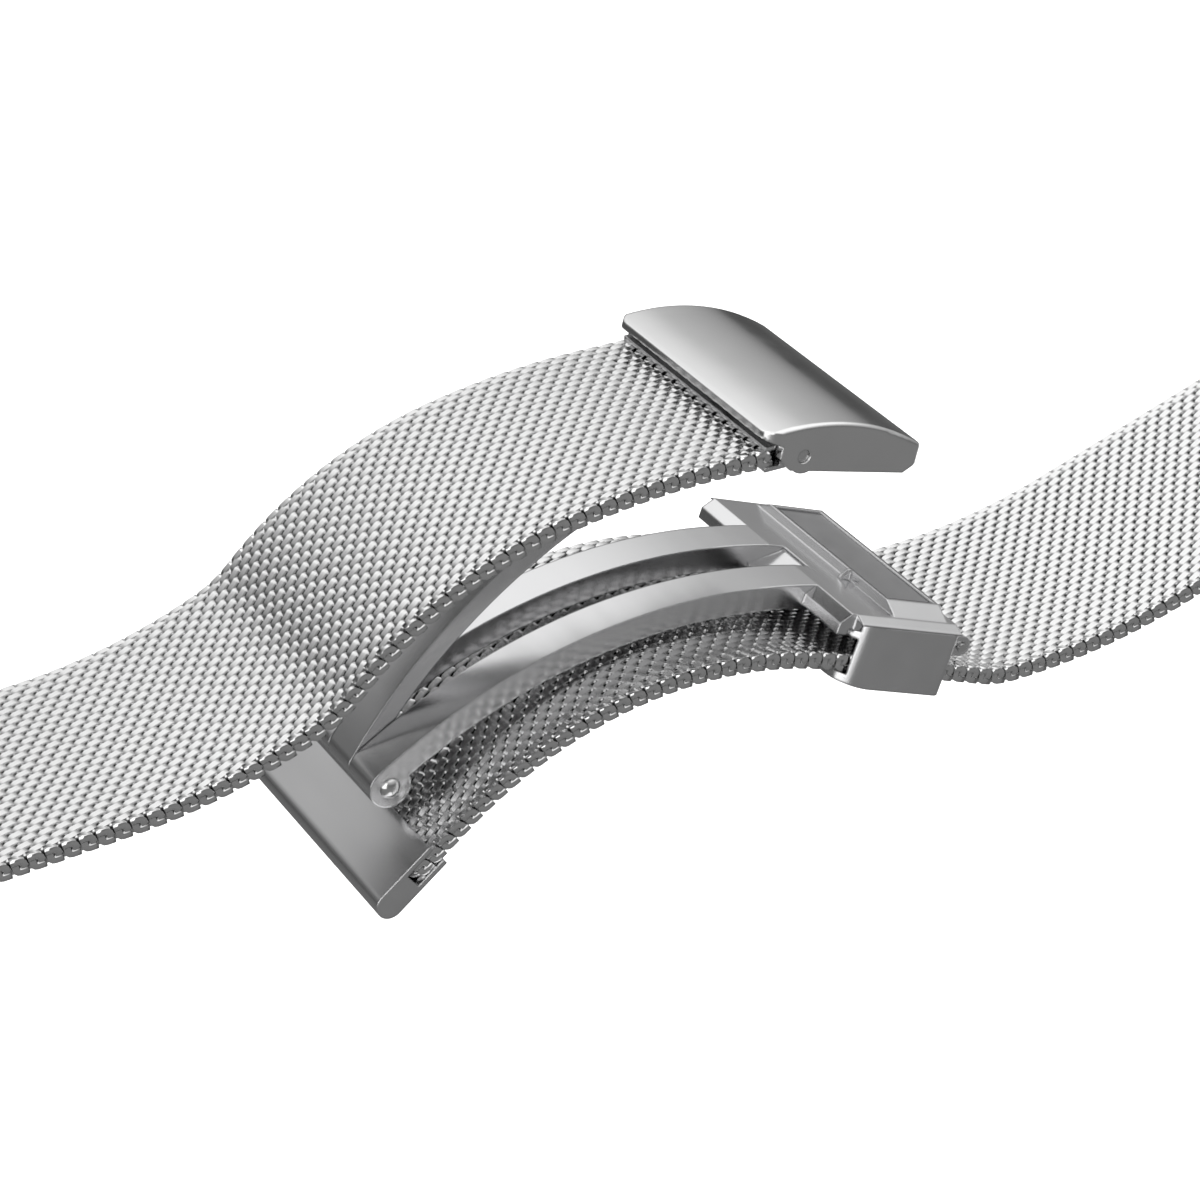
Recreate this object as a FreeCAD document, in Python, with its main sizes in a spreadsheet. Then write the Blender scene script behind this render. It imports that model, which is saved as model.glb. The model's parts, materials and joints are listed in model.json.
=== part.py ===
import FreeCAD, Part
import math
import os
import Sketcher

# Woven steel watch band with a folding clasp that slides and locks on the long strap.
# The origin is the spring bar axis at the watch end of the long strap.
# +Y runs along the bar, +Z is up, and the band reaches away from the origin towards -X.

SIZES = {
    # Woven straps
    "strap_width": 20.0,
    "mesh_thick": 1.3,
    "lug_drop": 4.5,
    "long_lead": 20.0,
    "long_lead_radius": 130.0,
    "long_lead_turn": 11.3,
    "long_rise": 14.0,
    "long_sag_radius": 49.0,
    "long_sag_turn": 18.7,
    "long_bend_radius": 7.4,
    "clasp_slope": 20.5,
    "long_flat": 14.0,
    "arch_inset": 13.3,
    "arch_turn": 59.0,
    "long_tail": 2.9,
    "short_lead": 3.7,
    "short_ease_radius": 57.5,
    "short_ease_turn": 12.0,
    "short_crest_radius": 30.5,
    "short_crest_turn": 34.0,
    "short_dip_radius": 8.7,
    "short_dip_turn": 21.8,
    "short_sag_radius": 40.6,
    "short_sag_turn": 19.7,
    "short_end": 17.0,
    "grip_depth": 1.2,
    # Watch end fittings and spring bars
    "lug_width": 19.6,
    "lug_radius": 1.35,
    "lug_plate_thick": 2.0,
    "bar_radius": 0.9,
    "bar_wall": 0.2,
    "bar_tip_radius": 0.4,
    "bar_tip_reach": 1.0,
    "bar_travel": 1.3,
    "bar_shank": 2.2,
    "bar_collar": 0.6,
    "knob_radius": 0.4,
    "knob_reach": 1.9,
    "knob_inset": 4.0,
    # Cap on the loose end of the long strap
    "cap_length": 5.8,
    "cap_thick": 2.1,
    "cap_overhang": 0.15,
    "cap_grip": 2.5,
    # Slider housing, in a frame whose centre is on the middle of the mesh
    "slider_seat": 6.0,
    "housing_front": 5.3,
    "housing_back": 3.8,
    "mesh_side_gap": 0.15,
    "housing_cheek": 0.85,
    "housing_floor": 0.65,
    "housing_roof": 0.6,
    "slot_under": 0.15,
    "slot_height": 2.8,
    "front_round": 2.5,
    "back_round": 0.8,
    "lock_window": 2.2,
    # Lock pin behind the housing
    "lock_pin_radius": 0.35,
    "lock_pin_back": 1.7,
    "lock_pin_drop": 0.15,
    "lock_pin_inset": 1.5,
    "lock_pin_proud": 0.3,
    "lock_knuckle_radius": 0.8,
    "lock_ear_thick": 1.8,
    # Bridge: head plate and two arms
    "head_rise": 1.2,
    "head_lip": 1.2,
    "lip_thick": 0.9,
    "lip_drop": 0.45,
    "head_chamfer": 0.8,
    "shoulder_width": 1.1,
    "shoulder_drop": 0.4,
    "plateau_rise": 0.7,
    "plateau_front": 1.85,
    "plateau_back": 3.05,
    "deck_margin": 0.2,
    "plateau_ramp": 1.5,
    "rim_width": 0.35,
    "plate_depth": 0.4,
    "rib_width": 1.4,
    "rib_half_length": 6.0,
    "arm_radius": 43.4,
    "arm_lean": 5.3,
    "arm_sweep": 48.4,
    "arm_thick": 1.9,
    "arm_outer": 5.1,
    "arm_gap": 3.4,
    "barrel_radius": 1.6,
    "window_end": 4.4,
    "window_ramp": 2.6,
    "window_ramp_drop": 1.3,
    # Hinge pin, leaf and cover
    "hinge_pin_radius": 0.6,
    "rivet_radius": 0.8,
    "rivet_rise": 0.45,
    "leaf_thick": 1.45,
    "leaf_neck": 4.1,
    "leaf_neck_drop": 0.35,
    "eye_radius": 1.2,
    "cover_pin_radius": 0.48,
    "pin_recess": 0.2,
    "cover_pin_height": 5.35,
    "leaf_reach": 36.1,
    "leaf_open_turn": 22.7,
    "cover_open_turn": 5.5,
    "cover_front": 1.9,
    "cover_toe": 1.0,
    "cover_toe_rise": 0.8,
    "cover_back": 9.6,
    "cover_side_gap": 0.15,
    "cover_lip": 1.4,
    "cover_lip_thick": 0.5,
    "cover_lip_rise": 0.95,
    "cover_wall": 0.7,
    "cover_skin": 0.5,
    "cover_below": 1.05,
    "cover_heel": 1.25,
    "cover_crown": 2.55,
    "cover_crown_at": 2.8,
    "cover_crown_radius": 17.0,
    "cover_end_round": 0.7,
    "cover_edge_round": 0.35,
    "ferrule_thick": 1.9,
    "ferrule_reach": 2.64,
    "ferrule_notch": 1.9,
    # Running clearances
    "pin_gap": 0.02,
    "side_gap": 0.1,
}

# Sizes that follow others, as formulas of the sheet.
DERIVED = {
    "housing_half_width": "strap_width / 2 + mesh_side_gap + housing_cheek",
    "lock_pin_half_length": "housing_half_width - lock_pin_inset",
    "lock_ear_outer": "lock_pin_half_length - lock_pin_proud",
    "lock_ear_inner": "lock_ear_outer - lock_ear_thick",
    "plateau_half_width": "housing_half_width - shoulder_width - deck_margin - plateau_ramp",
    "cap_width": "strap_width + 2 * cap_overhang",
    "cover_half_width": "strap_width / 2 + cover_side_gap + cover_wall",
    "arch_radius": "arm_radius - arch_inset",
}

doc = FreeCAD.newDocument("MeshBand")
sheet = doc.addObject("Spreadsheet::Sheet", "Sizes")
for row, (alias, value) in enumerate(SIZES.items(), start=1):
    sheet.set(f"A{row}", alias)
    sheet.set(f"B{row}", str(value))
    sheet.setAlias(f"B{row}", alias)
for row, (alias, formula) in enumerate(DERIVED.items(), start=len(SIZES) + 1):
    sheet.set(f"A{row}", alias)
    sheet.set(f"B{row}", "=" + formula)
    sheet.setAlias(f"B{row}", alias)
    doc.recompute()
doc.recompute()


def size(alias):
    """The value of one cell of the sheet."""
    return float(sheet.get(alias))


Vector = FreeCAD.Vector
ALONG_Y = FreeCAD.Rotation(Vector(1, 0, 0), -90)
UP = Vector(0, 0, 1)
nodes = []


def turned(point, angle):
    """A point (x, z) turned about the origin, from +X towards +Z."""
    c, s = math.cos(math.radians(angle)), math.sin(math.radians(angle))
    return (point[0] * c - point[1] * s, point[0] * s + point[1] * c)


def moved(frame, point):
    """A point given in a frame (x, z, angle), in the band's own frame."""
    x, z = turned(point, frame[2])
    return (frame[0] + x, frame[1] + z)


def placement(frame):
    """The placement of a frame (x, z, angle) in the XZ plane."""
    return FreeCAD.Placement(Vector(frame[0], 0, frame[1]), FreeCAD.Rotation(Vector(0, 1, 0), -frame[2]))


def follow(start, steps):
    """Stations (x, z, heading) at the ends of steps: (length,) is straight, (radius, turn) an arc."""
    stations = [start]
    for step in steps:
        x, z, heading = stations[-1]
        if len(step) == 1:
            dx, dz = turned((step[0], 0), heading)
            stations.append((x + dx, z + dz, heading))
            continue
        radius, turn = step
        side = math.copysign(1, turn)
        cx, cz = turned((0, side * radius), heading)
        ex, ez = turned((0, -side * radius), heading + turn)
        stations.append((x + cx + ex, z + cz + ez, heading + turn))
    return stations


def line(a, b):
    return Part.LineSegment(Vector(a[0], a[1], 0), Vector(b[0], b[1], 0))


def arc(centre, radius, a0, a1):
    """An arc from angle a0 to a1 in degrees, counter-clockwise."""
    circle = Part.Circle(Vector(centre[0], centre[1], 0), UP, radius)
    return Part.ArcOfCircle(circle, math.radians(a0), math.radians(a1))


def polar(centre, radius, angle):
    dx, dz = turned((radius, 0), angle)
    return (centre[0] + dx, centre[1] + dz)


def loop(points):
    """Straight edges round a closed outline."""
    return [line(a, b) for a, b in zip(points, points[1:] + points[:1])]


def ribbon(start, steps, thick):
    """The outline of a strip of even thickness that follows a path."""
    stations = follow(start, steps)
    edges = []
    for (x, z, heading), step in zip(stations, steps):
        for offset in (thick / 2, -thick / 2):
            if len(step) == 1:
                a = moved((x, z, heading), (0, offset))
                b = moved((x, z, heading), (step[0], offset))
                edges.append(line(a, b))
                continue
            radius, turn = step
            side = math.copysign(1, turn)
            centre = moved((x, z, heading), (0, side * radius))
            a0 = heading - 90 * side
            a1 = a0 + turn
            edges.append(arc(centre, radius - side * offset, min(a0, a1), max(a0, a1)))
    for x, z, heading in (stations[0], stations[-1]):
        edges.append(line(moved((x, z, heading), (0, thick / 2)), moved((x, z, heading), (0, -thick / 2))))
    return edges


def plane_of(body, role):
    return [f for f in body.Origin.OriginFeatures if f.Role == role][0]


def add_sketch(body, name, edges, role="XZ_Plane", offset=0.0):
    """A sketch on one of the body's own planes, moved along its normal by offset."""
    sketch = body.newObject("Sketcher::SketchObject", name)
    sketch.AttachmentSupport = [(plane_of(body, role), "")]
    sketch.MapMode = "FlatFace"
    sketch.AttachmentOffset = FreeCAD.Placement(Vector(0, 0, offset), FreeCAD.Rotation())
    for edge in edges:
        sketch.addGeometry(edge, False)
    return sketch


def add_pad(body, name, sketch, length, midplane=True):
    """A pad whose length follows the sheet: length is an expression."""
    pad = body.newObject("PartDesign::Pad", name)
    pad.Profile = sketch
    pad.Midplane = midplane
    pad.setExpression("Length", length)
    body.Tip = pad
    doc.recompute()
    return pad


def add_pocket(body, name, sketch, length, midplane=True, reverse=False):
    """A pocket that has to take material away: length is an expression."""
    before = body.Shape.Volume
    pocket = body.newObject("PartDesign::Pocket", name)
    pocket.Profile = sketch
    pocket.Midplane = midplane
    pocket.Reversed = reverse
    pocket.setExpression("Length", length)
    body.Tip = pocket
    doc.recompute()
    if body.Shape.Volume > before - 1e-6:
        raise RuntimeError(f"{body.Label}: {name} cuts nothing")
    return pocket


def new_body(label, frame=(0, 0, 0)):
    body = doc.addObject("PartDesign::Body", label)
    body.Label = label
    body.Placement = placement(frame)
    nodes.append(body)
    return body


def strip(label, start, steps, thick, width, frame=(0, 0, 0)):
    """A body made by padding a ribbon outline to both sides."""
    body = new_body(label, frame)
    sketch = add_sketch(body, label + "_outline", ribbon(start, steps, thick))
    add_pad(body, label + "_pad", sketch, width)
    return body


def bore(body, name, centre, radius, length):
    """A round hole along Y, centred on the middle plane."""
    circle = Part.Circle(Vector(centre[0], centre[1], 0), UP, radius)
    sketch = add_sketch(body, name + "_circle", [circle])
    return add_pocket(body, name, sketch, length)


def cylinder(label, radius, length, x, y, z):
    """A cylinder along +Y from y, with radius and length as expressions."""
    made = doc.addObject("Part::Cylinder", label)
    made.Label = label
    made.setExpression("Radius", radius)
    made.setExpression("Height", length)
    made.Placement = FreeCAD.Placement(Vector(x, y, z), ALONG_Y)
    return made


def fused(label, parts):
    made = doc.addObject("Part::MultiFuse", label)
    made.Label = label
    made.Shapes = parts
    return made


def cut(label, base, tool):
    made = doc.addObject("Part::Cut", label)
    made.Label = label
    made.Base = base
    made.Tool = tool
    return made


# Paths of the two straps. A path heads away from the watch on the long strap,
# and away from the clasp on the short one.
slope = size("clasp_slope")
long_heading = 180 + size("long_lead_turn") + size("long_sag_turn")
LONG_STEPS = [
    (size("long_lead"),),
    (size("long_lead_radius"), -size("long_lead_turn")),
    (size("long_rise"),),
    (size("long_sag_radius"), -size("long_sag_turn")),
    (size("long_bend_radius"), -slope),
    (size("long_flat"),),
    (size("arch_radius"), size("arch_turn")),
    (size("long_tail") + size("cap_grip"),),
]
long_dx, long_dz = turned((size("lug_drop") - size("grip_depth"), 0), long_heading)
long_start = (long_dx, long_dz, long_heading)
long_stations = follow(long_start, LONG_STEPS)

# The slider frame: +x leads to the watch along the mesh, +z stands off it.
arch_x, arch_z, arch_heading = long_stations[6]
seat_dx, seat_dz = turned((-size("slider_seat"), 0), arch_heading)
slider = (arch_x + seat_dx, arch_z + seat_dz, arch_heading - 180)

# Heights in the slider frame, from the middle of the mesh.
slot_low = -size("mesh_thick") / 2 - size("slot_under")
slot_high = slot_low + size("slot_height")
roof_top = slot_high + size("housing_roof")
deck = roof_top + size("head_rise")
lock_pin = (size("housing_back") + size("lock_pin_back"), slot_high - size("lock_pin_drop"))

# The arms follow a circle that meets the deck at the front of the head.
lip_front = -size("housing_front") - size("head_lip")
arm_join = lip_front + size("head_chamfer")
arm_centre = polar((arm_join, deck), size("arm_radius"), -90 + size("arm_lean"))
barrel_angle = 90 + size("arm_lean") + size("arm_sweep")
hinge_local = polar(arm_centre, size("arm_radius") - size("barrel_radius"), barrel_angle)
hinge = moved(slider, hinge_local)

# Closed, the cover pin stands over the front of the head, at the leaf's reach from the hinge.
rise = size("cover_pin_height") - hinge_local[1]
closed_pin = (hinge_local[0] + math.sqrt(size("leaf_reach") ** 2 - rise ** 2), size("cover_pin_height"))
closed_angle = slider[2] + math.degrees(math.atan2(rise, closed_pin[0] - hinge_local[0]))
leaf = (hinge[0], hinge[1], closed_angle + size("leaf_open_turn"))
cover_pin = moved(leaf, (size("leaf_reach"), 0))
cover = (cover_pin[0], cover_pin[1], slider[2] + size("cover_open_turn"))


def make_mesh_straps():
    """The two woven straps, as plain strips with the true outer shape."""
    strip("mesh_strap_long", long_start, LONG_STEPS, size("mesh_thick"), "Sizes.strap_width")
    reach = size("ferrule_reach") - size("grip_depth")
    steps = [
        (size("short_lead") + size("grip_depth"),),
        (size("short_ease_radius"), size("short_ease_turn")),
        (size("short_crest_radius"), size("short_crest_turn")),
        (size("short_dip_radius"), -size("short_dip_turn")),
        (size("short_sag_radius"), -size("short_sag_turn")),
        (size("short_end") + size("grip_depth"),),
    ]
    start = (cover_pin[0] - reach, cover_pin[1], 180)
    strip("mesh_strap_short", start, steps, size("mesh_thick"), "Sizes.strap_width")
    return follow(start, steps)[-1]


def make_end_cap():
    """The folded cap that closes the loose end of the long strap, with a slot for the mesh."""
    x, z, heading = long_stations[-1]
    frame = (x, z, heading - 180)
    half = size("cap_thick") / 2
    front = half - (size("cap_length") - size("cap_grip"))
    body = new_body("end_cap", frame)
    edges = [
        line((front, half), (size("cap_grip"), half)),
        line((size("cap_grip"), half), (size("cap_grip"), -half)),
        line((size("cap_grip"), -half), (front, -half)),
        arc((front, 0), half, 90, 270),
    ]
    add_pad(body, "cap_pad", add_sketch(body, "cap_outline", edges), "Sizes.cap_width")
    slot = size("mesh_thick") / 2
    mouth = [(0, slot), (size("cap_grip"), slot), (size("cap_grip"), -slot), (0, -slot)]
    add_pocket(body, "cap_slot", add_sketch(body, "cap_slot_outline", loop(mouth)), "Sizes.cap_width")


def rounded_plan(front, back, half):
    """A plan outline with large front corners and small back ones."""
    r, q = size("front_round"), size("back_round")
    return [
        line((front + r, -half), (back - q, -half)),
        arc((back - q, -half + q), q, 270, 360),
        line((back, -half + q), (back, half - q)),
        arc((back - q, half - q), q, 0, 90),
        line((back - q, half), (front + r, half)),
        arc((front + r, half - r), r, 90, 180),
        line((front, half - r), (front, -half + r)),
        arc((front + r, -half + r), r, 180, 270),
    ]


def make_slider_housing():
    """The tube that runs on the mesh: floor, two cheeks, a roof with a lock window, and pin ears."""
    front, back = -size("housing_front"), size("housing_back")
    half = size("housing_half_width")
    bottom = slot_low - size("housing_floor")
    body = new_body("slider_housing", slider)
    plan = add_sketch(body, "housing_plan", rounded_plan(front, back, half), "XY_Plane", bottom)
    top = "Sizes.housing_floor + Sizes.slot_height + Sizes.housing_roof"
    add_pad(body, "housing_block", plan, f"{top} + Sizes.head_rise - Sizes.shoulder_drop", False)
    inner = "2 * (Sizes.housing_half_width - Sizes.housing_cheek)"
    slot = [(front - 1, slot_low), (back + 1, slot_low), (back + 1, slot_high), (front - 1, slot_high)]
    add_pocket(body, "mesh_slot", add_sketch(body, "slot_outline", loop(slot)), inner)
    above = deck + 1
    tray = [(front - 1, roof_top), (back + 1, roof_top), (back + 1, above), (front - 1, above)]
    add_pocket(body, "head_tray", add_sketch(body, "tray_outline", loop(tray)), inner)
    gap = size("side_gap")
    knuckle = size("lock_knuckle_radius")
    window = size("lock_window") / 2
    hole = [(-window - 0.5, slot_high - 0.1), (window, slot_high - 0.1)]
    hole += [(window, roof_top + 0.1), (-window - 0.5, roof_top + 0.1)]
    length = "2 * (Sizes.rib_half_length + Sizes.side_gap)"
    add_pocket(body, "lock_window", add_sketch(body, "window_outline", loop(hole)), length)
    for side, reverse in ((-1, False), (1, True)):
        ear = [
            line((back - 1.2, roof_top), (back + gap, roof_top)),
            line((back + gap, roof_top), (lock_pin[0], lock_pin[1] + knuckle)),
            arc(lock_pin, knuckle, -90, 90),
            line((lock_pin[0], lock_pin[1] - knuckle), (back - 1.2, lock_pin[1] - knuckle)),
            line((back - 1.2, lock_pin[1] - knuckle), (back - 1.2, roof_top)),
        ]
        sketch = add_sketch(body, f"ear_{'near' if side < 0 else 'far'}", ear, offset=-side * size("lock_ear_inner"))
        pad = body.newObject("PartDesign::Pad", f"ear_pad_{'near' if side < 0 else 'far'}")
        pad.Profile = sketch
        pad.Reversed = reverse
        pad.setExpression("Length", "Sizes.lock_ear_outer - Sizes.lock_ear_inner")
        body.Tip = pad
        doc.recompute()
    bore(body, "lock_pin_hole", lock_pin, size("lock_pin_radius") + size("pin_gap"), "3 * Sizes.lock_ear_outer")


def make_lock_pin():
    """The pin that the bridge lifts about."""
    x, z = moved(slider, lock_pin)
    start = -size("lock_pin_half_length")
    nodes.append(cylinder("lock_pin", "Sizes.lock_pin_radius", "2 * Sizes.lock_pin_half_length", x, start, z))


def head_section():
    """Half of the head's cross-section outline, as (y, z) points from the middle outwards."""
    half = size("housing_half_width")
    inner = half - size("housing_cheek") - size("side_gap")
    shoulder = deck - size("shoulder_drop")
    plateau = deck + size("plateau_rise")
    return [
        (0, plateau),
        (size("plateau_half_width"), plateau),
        (size("plateau_half_width") + size("plateau_ramp"), deck),
        (half - size("shoulder_width"), deck),
        (half, shoulder),
        (inner, shoulder),
        (inner, roof_top),
        (0, roof_top),
    ]


def make_bridge():
    """The bridge in one piece: head plate with a raised plateau, lip, lock rib and two curved arms."""
    front, back = -size("housing_front"), size("housing_back")
    body = new_body("clasp_bridge", slider)
    half = head_section()
    ring = half + [(-y, z) for y, z in reversed(half[1:-1])]
    section = add_sketch(body, "head_section", loop(ring), "YZ_Plane", front)
    add_pad(body, "head_block", section, "Sizes.housing_front + Sizes.housing_back", False)
    plateau = deck + size("plateau_rise") + 0.1
    groove = [(front - 1, deck), (-size("plateau_front"), deck), (-size("plateau_front"), plateau), (front - 1, plateau)]
    add_pocket(body, "front_deck", add_sketch(body, "front_deck_outline", loop(groove)), "3 * Sizes.housing_half_width")
    tail = [(size("plateau_back"), deck), (back + 1, deck), (back + 1, plateau), (size("plateau_back"), plateau)]
    add_pocket(body, "back_deck", add_sketch(body, "back_deck_outline", loop(tail)), "3 * Sizes.housing_half_width")
    chamfer = size("head_chamfer")
    lip_low = roof_top - size("lip_drop")
    lip_back = lip_front + size("lip_thick")
    lip = [
        (lip_front, lip_low),
        (lip_back, lip_low),
        (lip_back, roof_top),
        (front + 0.5, roof_top),
        (front + 0.5, deck),
        (arm_join, deck),
        (lip_front, deck - chamfer),
    ]
    add_pad(body, "lip_pad", add_sketch(body, "lip_outline", loop(lip)), "2 * (Sizes.housing_half_width - Sizes.shoulder_width)")
    rib = size("rib_width") / 2
    rib_low = size("mesh_thick") / 2 + size("side_gap")
    rib_edges = loop([(-rib, rib_low), (rib, rib_low), (rib, roof_top + 0.2), (-rib, roof_top + 0.2)])
    add_pad(body, "lock_rib", add_sketch(body, "rib_outline", rib_edges), "2 * Sizes.rib_half_length")
    knuckle = size("lock_knuckle_radius")
    web = [
        line((back - 1.0, deck - 0.5), (lock_pin[0], lock_pin[1] + knuckle)),
        arc(lock_pin, knuckle, -90, 90),
        line((lock_pin[0], lock_pin[1] - knuckle), (lock_pin[0] - knuckle, lock_pin[1])),
        line((lock_pin[0] - knuckle, lock_pin[1]), (back + size("side_gap"), roof_top)),
        line((back + size("side_gap"), roof_top), (back - 1.0, roof_top)),
        line((back - 1.0, roof_top), (back - 1.0, deck - 0.5)),
    ]
    add_pad(body, "lock_knuckle", add_sketch(body, "knuckle_outline", web), "2 * (Sizes.lock_ear_inner - Sizes.side_gap)")
    top = size("arm_radius")
    low = top - size("arm_thick")
    head_angle = math.degrees(math.asin((arm_centre[0] - lip_back) / low))
    arms = [
        arc(arm_centre, top, 90 + size("arm_lean"), barrel_angle),
        arc(arm_centre, low, 90 + head_angle, barrel_angle),
        line(polar(arm_centre, top, barrel_angle), polar(arm_centre, low, barrel_angle)),
        line(polar(arm_centre, low, 90 + head_angle), (lip_back, deck)),
        line((lip_back, deck), (arm_join, deck)),
    ]
    add_pad(body, "arm_pad", add_sketch(body, "arm_outline", arms), "2 * Sizes.arm_outer")
    circle = Part.Circle(Vector(hinge_local[0], hinge_local[1], 0), UP, size("barrel_radius"))
    add_pad(body, "barrel_pad", add_sketch(body, "barrel_outline", [circle]), "2 * Sizes.arm_outer")
    end = -size("window_end")
    ramp = [
        (end, deck + 0.1),
        (end, deck - 0.3),
        (end - size("window_ramp"), deck - 0.3 - size("window_ramp_drop")),
        (end - size("window_ramp"), roof_top - 4),
        (hinge_local[0] - 3, hinge_local[1] - 4),
        (hinge_local[0] - 3, deck + 0.1),
    ]
    add_pocket(body, "leaf_gap", add_sketch(body, "leaf_gap_outline", loop(ramp)), "Sizes.arm_gap")
    bore(body, "hinge_hole", hinge_local, size("hinge_pin_radius") + size("pin_gap"), "3 * Sizes.arm_outer")
    bore(body, "lock_hole", lock_pin, size("lock_pin_radius") + size("pin_gap"), "3 * Sizes.lock_ear_outer")
    rim = size("rim_width")
    recess = loop([
        (-size("plateau_front") + rim, -size("plateau_half_width") + rim),
        (size("plateau_back") - rim, -size("plateau_half_width") + rim),
        (size("plateau_back") - rim, size("plateau_half_width") - rim),
        (-size("plateau_front") + rim, size("plateau_half_width") - rim),
    ])
    sketch = add_sketch(body, "plate_recess_outline", recess, "XY_Plane", deck + size("plateau_rise"))
    add_pocket(body, "plate_recess", sketch, "Sizes.plate_depth", False)


def make_plateau_plate():
    """The plain inlaid plate on the plateau, a little below its rim."""
    rim = size("rim_width") + size("pin_gap")
    plate = doc.addObject("Part::Box", "plateau_plate")
    plate.Label = "plateau_plate"
    plate.setExpression("Length", "Sizes.plateau_front + Sizes.plateau_back - 2 * Sizes.rim_width - 2 * Sizes.pin_gap")
    plate.setExpression("Width", "2 * (Sizes.plateau_half_width - Sizes.rim_width - Sizes.pin_gap)")
    plate.setExpression("Height", "Sizes.plate_depth * 0.6")
    low = deck + size("plateau_rise") - size("plate_depth")
    x, z = moved(slider, (-size("plateau_front") + rim, low))
    y = -size("plateau_half_width") + rim
    plate.Placement = FreeCAD.Placement(Vector(x, y, z), placement(slider).Rotation)
    nodes.append(plate)


def make_hinge_pin():
    """The riveted pin of the main hinge, with a low dome on each end."""
    x, z = hinge
    end = size("arm_outer") + size("pin_gap")
    shaft = cylinder("hinge_shaft", "Sizes.hinge_pin_radius", "2 * Sizes.arm_outer + 2 * Sizes.pin_gap", x, -end, z)
    parts = [shaft]
    for side in (-1, 1):
        ball_radius = (size("rivet_radius") ** 2 + size("rivet_rise") ** 2) / (2 * size("rivet_rise"))
        ball = doc.addObject("Part::Sphere", "rivet_ball")
        ball.Radius = ball_radius
        ball.Placement.Base = Vector(x, side * (end + size("rivet_rise") - ball_radius), z)
        slab = cylinder("rivet_slab", "Sizes.rivet_radius", "Sizes.rivet_rise", x, end if side > 0 else -end - size("rivet_rise"), z)
        dome = doc.addObject("Part::MultiCommon", "rivet_dome")
        dome.Shapes = [ball, slab]
        parts.append(dome)
    nodes.append(fused("hinge_pin", parts))


def make_leaf():
    """The leaf that folds down between the arms: it has their curve, a barrel and a raised eye."""
    body = new_body("clasp_leaf", leaf)
    closed_frame = (hinge[0], hinge[1], closed_angle)
    cx, cz = moved(slider, arm_centre)
    centre = turned((cx - closed_frame[0], cz - closed_frame[1]), -closed_angle)
    top = size("arm_radius")
    low = top - size("leaf_thick")
    neck = size("leaf_reach") - size("leaf_neck")
    top_angle = math.degrees(math.acos((neck - centre[0]) / top))
    low_angle = math.degrees(math.acos((neck - centre[0]) / low))
    start_angle = math.degrees(math.atan2(-centre[1], -centre[0]))
    edges = [
        arc(centre, top, top_angle, start_angle),
        line(polar(centre, top, start_angle), polar(centre, low, start_angle)),
        arc(centre, low, low_angle, start_angle),
        line(polar(centre, low, low_angle), (size("leaf_reach"), -size("eye_radius"))),
        line((size("leaf_reach"), -size("eye_radius")), (size("leaf_reach"), -size("leaf_neck_drop"))),
        line((size("leaf_reach"), -size("leaf_neck_drop")), polar(centre, top, top_angle)),
    ]
    width = "Sizes.arm_gap - Sizes.side_gap"
    add_pad(body, "leaf_pad", add_sketch(body, "leaf_outline", edges), width)
    for name, x, radius in (("barrel", 0, size("barrel_radius")), ("eye", size("leaf_reach"), size("eye_radius"))):
        circle = Part.Circle(Vector(x, 0, 0), UP, radius)
        add_pad(body, f"leaf_{name}_pad", add_sketch(body, f"leaf_{name}_outline", [circle]), width)
    bore(body, "leaf_hinge_hole", (0, 0), size("hinge_pin_radius") + size("pin_gap"), "2 * Sizes.arm_gap")
    bore(body, "leaf_eye_hole", (size("leaf_reach"), 0), size("cover_pin_radius") + size("pin_gap"), "2 * Sizes.arm_gap")


def crown_arc(inset, front, back):
    """The cover's crown between two stations, with its two end points."""
    radius = size("cover_crown_radius") - inset
    centre = (size("cover_crown_at"), size("cover_crown") - size("cover_crown_radius"))
    a_back = math.degrees(math.acos((back - centre[0]) / radius))
    a_front = math.degrees(math.acos((front - centre[0]) / radius))
    return arc(centre, radius, a_back, a_front), polar(centre, radius, a_front), polar(centre, radius, a_back)


def cover_outline():
    """The cover's side outline: a lip in front, and both lower corners cut back."""
    front, back, low = -size("cover_front"), size("cover_back"), -size("cover_below")
    toe, rise = size("cover_toe"), size("cover_toe_rise")
    crown, lip_top, back_top = crown_arc(0, front - size("cover_lip"), back)
    path = [
        lip_top,
        (lip_top[0], lip_top[1] - size("cover_lip_thick")),
        (front, low + rise + size("cover_lip_rise")),
        (front, low + rise),
        (front + toe, low),
        (back - toe, low),
        (back, low + rise),
        back_top,
    ]
    return [crown] + [line(a, b) for a, b in zip(path, path[1:])]


def hollow_outline():
    """The side outline of the cover's hollow, open below and in front."""
    front, back = -size("cover_front") - size("cover_lip") - 0.5, size("cover_back") - size("cover_wall")
    low = -size("cover_heel") - 1
    crown, front_top, back_top = crown_arc(size("cover_skin"), front, back)
    path = [front_top, (front, low), (back, low), back_top]
    return [crown] + [line(a, b) for a, b in zip(path, path[1:])]


def lip_corner(end, edge, radius, side):
    """What is cut off one corner of the lip in plan, beside a round of the given radius."""
    centre = (end + radius, edge - side * radius)
    quarter = arc(centre, radius, 90, 180) if side > 0 else arc(centre, radius, 180, 270)
    out = edge + side
    path = [(end + radius, edge), (end + radius, out), (end - 1, out), (end - 1, centre[1]), (end, centre[1])]
    return [quarter] + [line(a, b) for a, b in zip(path, path[1:])]


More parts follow.
